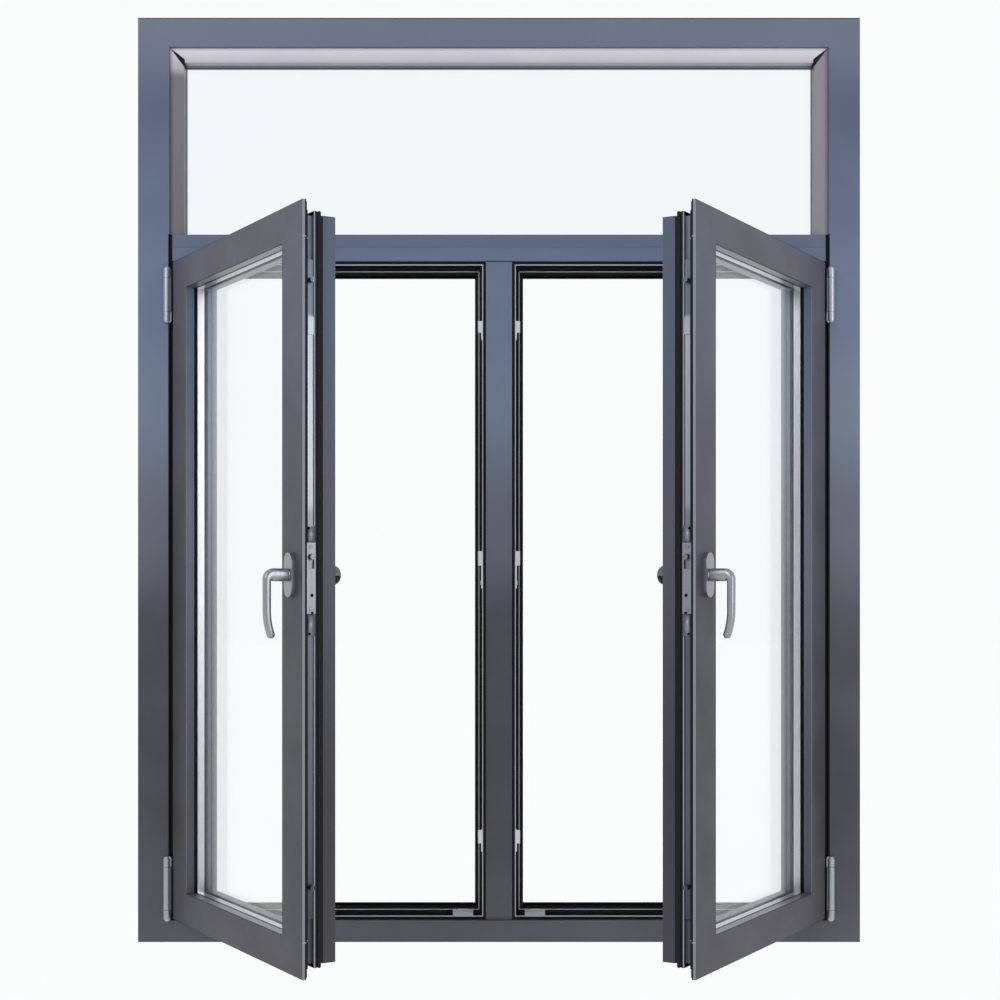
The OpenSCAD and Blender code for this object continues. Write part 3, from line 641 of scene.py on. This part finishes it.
# The lock plates carry painted shade spots for their holes.
lock_plate = {side: metal(f"{side}_lock_plate", srgb(138, 141, 148), 0.4, (1, 1, 0.05),
                          overlays=[(plate_hole_shade(side), srgb(12, 12, 14))]) for side in SIDES}
silver = metal("satin_silver", srgb(150, 152, 158), 0.36)
keep_silver = metal("keep_silver", srgb(216, 218, 222), 0.4)
plate_steel = metal("plate_steel", srgb(132, 135, 142), 0.4)
rod_metal = metal("rod_anodised", srgb(120, 124, 132), 0.34, (1, 1, 0.02), stops=ROD_STOPS)
# The hinge leaves are painted near black as shade.
hinge_silver = metal("hinge_silver", srgb(164, 169, 177), 0.34, overlays=[(hinge_leaf_shade, srgb(14, 14, 17))])
steel = metal("zinc_steel", srgb(176, 178, 182), 0.35)
handle_silver = metal("handle_anodised", srgb(152, 154, 161), 0.3, (1, 1, 0.05))
knob_grey = metal("knob_grey", srgb(86, 88, 94), 0.4)
spacer_silver = metal("spacer_mill", srgb(244, 245, 248), 0.35)
spacer_blue = metal("spacer_dark", srgb(70, 84, 124), 0.45)
casting = metal("die_cast", srgb(150, 152, 156), 0.5)
# The centre gasket carries a painted highlight along its ridge.
centre_rubber = plastic("centre_rubber", RUBBER_BLACK, overlays=[(gasket_ridge_highlight, srgb(190, 192, 198))])
black_rubber = plastic("black_rubber", RUBBER_BLACK, 0.7)
polyamide = plastic("polyamide", srgb(22, 22, 25), 0.55, 900.0)
glass = clear_glass("clear_glass")


# ------------------------------------------------------------------ which piece wears what
def coat(name, material):
    slots = NODES[name].data.materials
    slots.clear()
    slots.append(material)


FRAME_LOOK = {
    "frame_head": frame_paint, "frame_jamb_left": frame_paint, "frame_jamb_right": frame_paint,
    "frame_sill": frame_paint, "transom": frame_paint, "mullion": frame_paint,
    "frame_thermal_breaks": polyamide, "frame_cleats": casting, "frame_gaskets": centre_rubber,
    "toplight_room_pane": glass, "toplight_weather_pane": glass, "toplight_spacer": spacer_blue,
    "toplight_beads": bead_paint, "keeps": keep_silver, "support_blocks": silver, "frame_screws": steel,
    "hinge_frame_leaves": hinge_silver, "hinge_pins": steel,
}
# A dictionary holds one material for each side
SASH_LOOK = {
    "lock_stile": stile_paint, "hinge_stile": rail_paint, "top_rail": rail_paint, "bottom_rail": rail_paint,
    "thermal_breaks": polyamide, "corner_cleats": casting, "room_pane": glass, "weather_pane": glass,
    "spacer": spacer_silver, "beads": inner_bead_paint, "glazing_gaskets": black_rubber,
    "overlap_gasket": black_rubber, "hinge_leaves": hinge_silver, "handle_base": handle_silver,
    "gearbox": lock_plate, "handle_lever": handle_silver, "spindle": steel, "outside_knob": knob_grey,
    "drive_rods": rod_metal, "lock_cams": rod_metal, "screws": plate_steel,
}
for name, material in FRAME_LOOK.items():
    coat(name, material)
for side in SIDES:
    for name, material in SASH_LOOK.items():
        coat(f"{side}_{name}", material[side] if isinstance(material, dict) else material)


# ------------------------------------------------------------------ mesh helpers
def new_piece(name, mesh_builder, material, body, replaced=()):
    mesh = bpy.data.meshes.new(name)
    shape = bmesh.new()
    mesh_builder(shape)
    bmesh.ops.recalc_face_normals(shape, faces=shape.faces[:])
    shape.to_mesh(mesh)
    shape.free()
    for face in mesh.polygons:
        face.use_smooth = True
    obj = bpy.data.objects.new(name, mesh)
    bpy.context.collection.objects.link(obj)
    mesh.materials.append(material)
    if replaced:
        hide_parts(*replaced)
    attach(obj, body)


def sweep(shape, stations, sides=20, power=2.6):
    """Skins rings. A station is (centre, across, out, half width, half depth)."""
    rings = []
    for centre, across, out, half_a, half_b in stations:
        ring = []
        for k in range(sides):
            angle = 2 * math.pi * k / sides
            c, s = math.cos(angle), math.sin(angle)
            u = half_a * math.copysign(abs(c) ** (2 / power), c)
            v = half_b * math.copysign(abs(s) ** (2 / power), s)
            ring.append(shape.verts.new(centre + across * u + out * v))
        rings.append(ring)
    for a, b in zip(rings, rings[1:]):
        for k in range(sides):
            shape.faces.new((a[k], a[(k + 1) % sides], b[(k + 1) % sides], b[k]))
    shape.faces.new(rings[0])
    shape.faces.new(rings[-1])


# ------------------------------------------------------------------ handle levers
NECK_OUT = 40 * MM          # lever centreline from the sash face
NECK_ROOT = 7.4 * MM        # where the neck leaves the base
BEND_R = 9 * MM
BEND_STEPS = 8
GRIP_STEPS = 10
TUCK_START = 0.55           # share of the grip's length where it starts to turn back
NECK_HALF = 9.6 * MM        # half height of the neck
GRIP_HALF = 5.8 * MM        # half depth of the grip
LEVER_HALF_W = 6.6 * MM
GRIP_BOTTOM = -88 * MM
GRIP_TUCK = 6.5 * MM        # how far the end turns back to the sash
END_ROUNDING = ((0.93, 1.6), (0.75, 3.0), (0.45, 4.0), (0.15, 4.4))     # (share of the depth, mm past the grip)
COLLAR_R = 7.9 * MM


def lever_path():
    """(out of the face, height, half depth) along the lever's middle."""
    points = [(NECK_ROOT, 0, 8.6 * MM), (9 * MM, 0, NECK_HALF), (20 * MM, 0, NECK_HALF)]
    for step in range(BEND_STEPS + 1):
        blend = step / BEND_STEPS
        angle = math.radians(90 - 90 * blend)
        points.append((NECK_OUT - BEND_R + BEND_R * math.cos(angle), -BEND_R + BEND_R * math.sin(angle),
                       NECK_HALF + (GRIP_HALF - NECK_HALF) * blend))
    for step in range(1, GRIP_STEPS + 1):
        along = step / GRIP_STEPS
        z = -BEND_R + (GRIP_BOTTOM + BEND_R) * along
        tuck = GRIP_TUCK * max(0, (along - TUCK_START) / (1 - TUCK_START)) ** 2
        points.append((NECK_OUT - tuck, z, GRIP_HALF * (1 - 0.06 * along)))
    out, z, half = points[-1]
    for shrink, drop in END_ROUNDING:
        points.append((out - 0.45 * drop * MM, z - drop * MM, half * shrink))
    return points


def lever(side):
    origin, room, along, up = handle_axes(side)

    def build(shape):
        path = lever_path()
        stations = []
        for index, (out, z, half) in enumerate(path):
            before = path[max(index - 1, 0)]
            after = path[min(index + 1, len(path) - 1)]
            heading = (room * (after[0] - before[0]) + up * (after[1] - before[1])).normalized()
            depth_way = heading.cross(along).normalized()
            grip_end = len(path) - len(END_ROUNDING)
            width = LEVER_HALF_W * (1 if index < grip_end else half / path[grip_end - 1][2])
            stations.append((origin + room * out + up * z, along, depth_way, width, half))
        sweep(shape, stations)
        # the round collar that enters the base
        collar = [(origin + room * d, along, up, COLLAR_R, COLLAR_R) for d in (1 * MM, 7.6 * MM)]
        sweep(shape, collar, 32, 2.0)

    new_piece(f"{side}_lever_grip", build, handle_silver, f"{side}_handle",
              [f"{side}_handle_lever"])


# ------------------------------------------------------------------ outside knobs and lock guides
# The knob's turned outline: (distance from the sash face, radius) in mm
KNOB_PROFILE = [(61.4, 13.5), (62.2, 14.6), (64.5, 15), (67, 14.8), (70.5, 13.6), (73.5, 11.4), (75.6, 8),
                (76.8, 3.5), (77, 0.4)]
# The guides above and below the lock's face plate: height from the spindle, inset, depth, in mm
GUIDE_SPANS = ((47.4, 70.5), (-90, -57.4))
GUIDE_INSETS = (11.3, 12.4)
GUIDE_DEPTHS = (12.8, 26.2)


def knob(side):
    origin, room, lockward, up = handle_axes(side)

    def build(shape):
        sweep(shape, [(origin - room * t * MM, lockward, up, r * MM, r * MM) for t, r in KNOB_PROFILE], 36, 2.0)

    new_piece(f"{side}_knob", build, knob_paint[side], f"{side}_handle", [f"{side}_outside_knob"])


def edge_guides(side):
    origin, room, lockward, up = handle_axes(side)

    def build(shape):
        for span in GUIDE_SPANS:
            corners = [shape.verts.new(origin + lockward * (SPINDLE_INSET - inset * MM) - room * deep * MM
                                       + up * height * MM)
                       for height in span for inset in GUIDE_INSETS for deep in GUIDE_DEPTHS]
            bmesh.ops.convex_hull(shape, input=corners)

    new_piece(f"{side}_edge_guides", build, lock_plate[side], f"{side}_sash")


for side in SIDES:
    lever(side)
    knob(side)
for side in SIDES:
    edge_guides(side)


# ------------------------------------------------------------------ softened edges
def soften(obj, width, segments=2):
    """Rounds the sharp edges so they catch the light."""
    rounding = obj.modifiers.new("edge", "BEVEL")
    rounding.width = width
    rounding.segments = segments
    rounding.limit_method = "ANGLE"
    rounding.angle_limit = math.radians(40)
    rounding.use_clamp_overlap = True


FRAME_SOFTENING = {
    0.5 * MM: ["frame_head", "frame_jamb_left", "frame_jamb_right", "frame_sill", "transom", "mullion",
               "toplight_beads"],
    0.4 * MM: ["keeps", "support_blocks", "hinge_frame_leaves"],
    1.2 * MM: ["hinge_pins"],
}
for width, names in FRAME_SOFTENING.items():
    for name in names:
        soften(NODES[name], width)
for side in SIDES:
    for name in ("lock_stile", "hinge_stile", "top_rail", "bottom_rail"):
        soften(NODES[f"{side}_{name}"], 0.6 * MM)
    soften(NODES[f"{side}_handle_base"], 1.2 * MM, 3)
    soften(NODES[f"{side}_gearbox"], 0.3 * MM, 1)


# ------------------------------------------------------------------ stage, light and camera
FLOOR_Z = -0.35
FLOOR_REACH = 30
PALE = srgb(250, 252, 252)
DIM = srgb(205, 208, 214)


def floor():
    material, tree, shader = new_material("pale_floor")
    grain = ramp_between(tree, noise(tree, 2.0), 0.2, 0.9)
    tint = mix(tree, grain, (0.012, 0.012, 0.012, 1), (0.008, 0.008, 0.008, 1))
    tree.links.new(tint, shader.inputs["Base Color"])
    shader.inputs["Emission Color"].default_value = PALE
    shader.inputs["Emission Strength"].default_value = 1.0
    shader.inputs["Roughness"].default_value = 0.9
    shader.inputs["Specular IOR Level"].default_value = 0.0
    mesh = bpy.data.meshes.new("floor")
    corners = ((-1, -1), (1, -1), (1, 1), (-1, 1))
    mesh.from_pydata([(FLOOR_REACH * x, FLOOR_REACH * y, FLOOR_Z) for x, y in corners], [], [(0, 1, 2, 3)])
    obj = bpy.data.objects.new("floor", mesh)
    bpy.context.collection.objects.link(obj)
    mesh.materials.append(material)


def soft_world():
    """White behind and above the window, and dimmer on the room side."""
    world = bpy.data.worlds.new("studio")
    bpy.context.scene.world = world
    world.use_nodes = True
    tree = world.node_tree
    background = tree.nodes["Background"]
    split = node(tree, "ShaderNodeSeparateXYZ")
    tree.links.new(node(tree, "ShaderNodeTexCoord").outputs["Generated"], split.inputs[0])
    back = ramp_between(tree, split.outputs["Y"], -0.7, 0.1)
    tree.links.new(mix(tree, back, DIM, PALE), background.inputs["Color"])
    background.inputs["Strength"].default_value = 1.0


def area_light(name, place, target, size, power):
    data = bpy.data.lights.new(name, "AREA")
    data.size = size
    data.energy = power
    obj = bpy.data.objects.new(name, data)
    obj.location = place
    obj.rotation_euler = (Vector(target) - Vector(place)).to_track_quat("-Z", "Y").to_euler()
    bpy.context.collection.objects.link(obj)


CAMERA_HEIGHT = 0.599
CAMERA_BACK = 2.9
LENS = 60.3
CAMERA_SHIFT = (0.001, 0.096)


def camera():
    data = bpy.data.cameras.new("camera")
    data.sensor_width = 36
    data.lens = LENS
    data.shift_x, data.shift_y = CAMERA_SHIFT
    data.clip_end = 200
    obj = bpy.data.objects.new("camera", data)
    obj.location = (0, ROOM_Y - CAMERA_BACK, CAMERA_HEIGHT)
    obj.rotation_euler = (math.radians(90), 0, 0)
    bpy.context.collection.objects.link(obj)
    bpy.context.scene.camera = obj


floor()
soft_world()
area_light("key", (-2.2, -3.4, 2.6), (0, 0, 0.9), 2.0, 40)
area_light("fill", (2.6, -3.0, 1.3), (0, 0, 0.7), 2.0, 34)
camera()
bpy.context.scene.view_settings.view_transform = "Standard"
